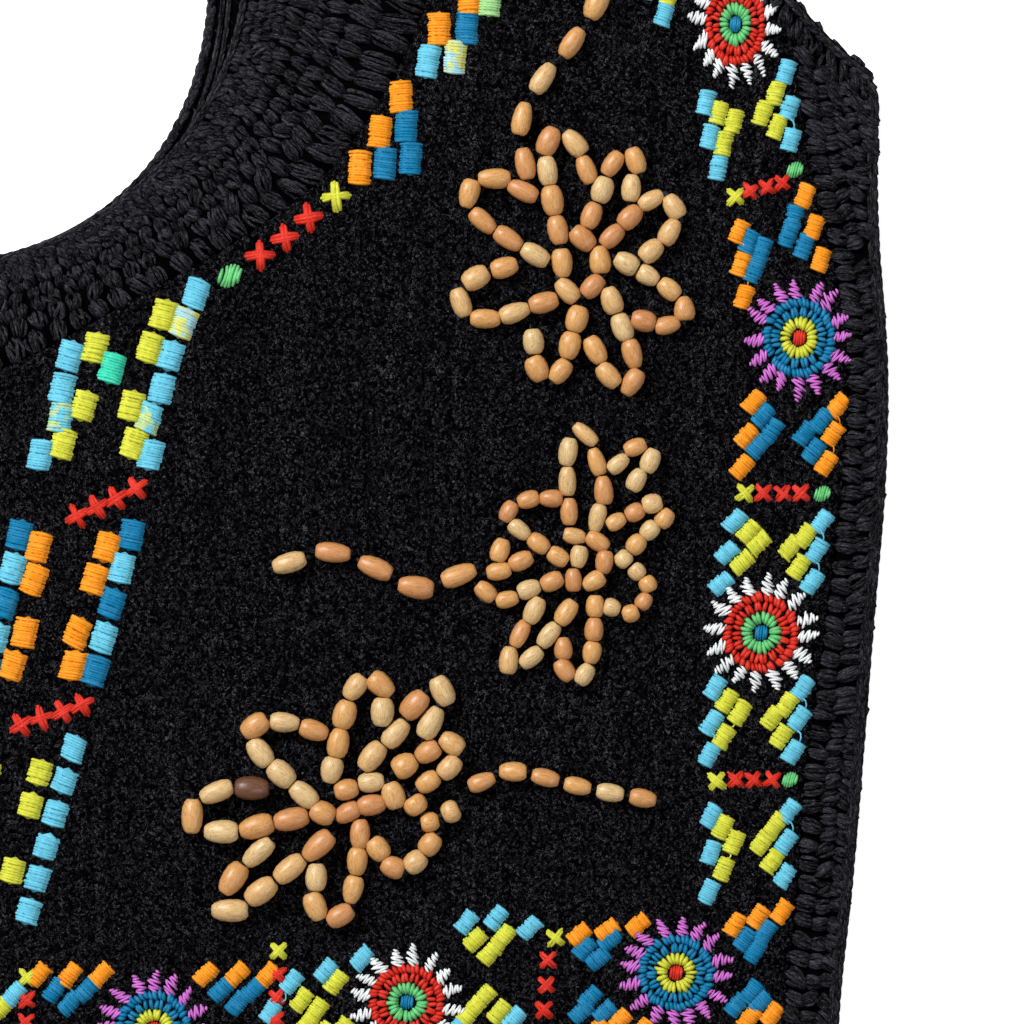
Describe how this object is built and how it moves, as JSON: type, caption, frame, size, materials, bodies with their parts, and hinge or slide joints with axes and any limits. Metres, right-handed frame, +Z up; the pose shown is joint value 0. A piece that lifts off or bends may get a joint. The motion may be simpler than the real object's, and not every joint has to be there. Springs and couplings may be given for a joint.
{
  "type": "beaded knit vest",
  "caption": "Black knitted pull-over vest laid flat, with crochet yoke and edging bands, embroidered borders and flowers of wooden beads on the front.",
  "frame": {"origin": "on the surface it lies on, under the middle of its bounding box", "axes": "+X across the vest towards the wearer's left, +Y from hem to shoulders, +Z up through back then front"},
  "size_m": [0.4792, 0.4719, 0.0089],
  "materials": {
    "knit": "fine black knit with faint grey flecks",
    "crochet": "thick charcoal crochet yarn",
    "embroidery": "stranded cotton in satin and cross stitch, several colours",
    "bead_wood": "unpolished turned wood, pale to reddish tan"
  },
  "bodies": {
    "root": {"front_panel": "knit", "back_panel": "knit", "front_yoke": "crochet", "back_yoke": "crochet", "front_hem": "crochet", "back_hem": "crochet", "front_armhole_left": "crochet", "front_armhole_right": "crochet", "back_armhole_left": "crochet", "back_armhole_right": "crochet", "side_band_left": "crochet", "side_band_right": "crochet", "shoulder_join_left": "crochet", "shoulder_join_right": "crochet"}
  },
  "joints": []
}
